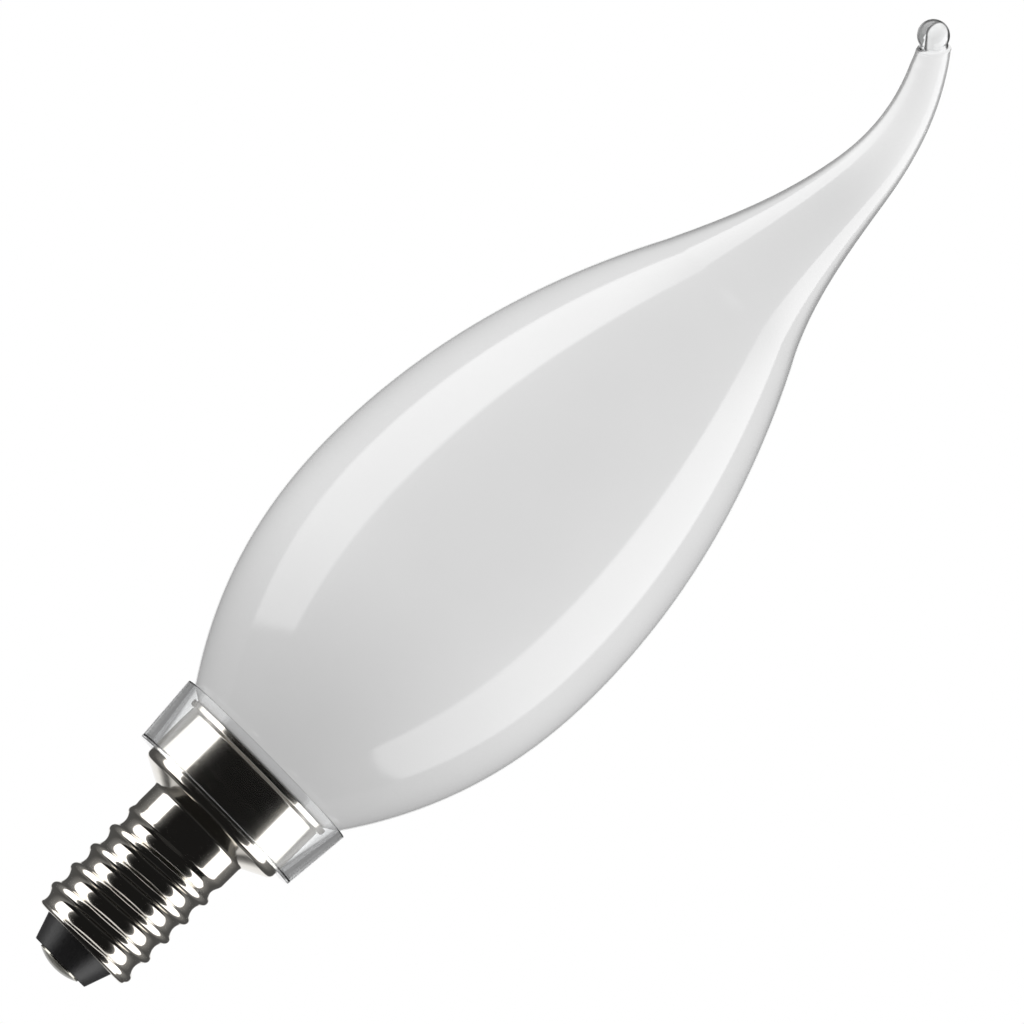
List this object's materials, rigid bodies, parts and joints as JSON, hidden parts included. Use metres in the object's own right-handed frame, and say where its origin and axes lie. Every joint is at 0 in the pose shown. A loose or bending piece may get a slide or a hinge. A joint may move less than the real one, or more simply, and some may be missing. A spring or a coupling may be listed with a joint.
{
  "type": "candle bulb",
  "caption": "Flame-shaped white glass candle bulb with a bent tip and a clear bead, a clear collar, and a nickel-plated screw cap with a domed contact for a lamp holder.",
  "frame": {"origin": "end of the centre contact, on the axis of the screw cap", "axes": "+Z along the bulb's axis from the cap towards the tip, and the tip leans to -X"},
  "size_m": [0.035, 0.035, 0.1219],
  "materials": {
    "white_glass": "glossy clear glass over an even white coating on the inside, clear at the bead",
    "clear_plastic": "clear, polished",
    "nickel_plate": "bright nickel plate, slightly warm",
    "black_insulator": "satin black",
    "contact_metal": "bright pressed metal"
  },
  "bodies": {
    "root": {"glass_envelope": "white_glass", "clear_collar": "clear_plastic", "screw_cap": "nickel_plate", "insulator": "black_insulator", "centre_contact": "contact_metal"}
  },
  "joints": []
}
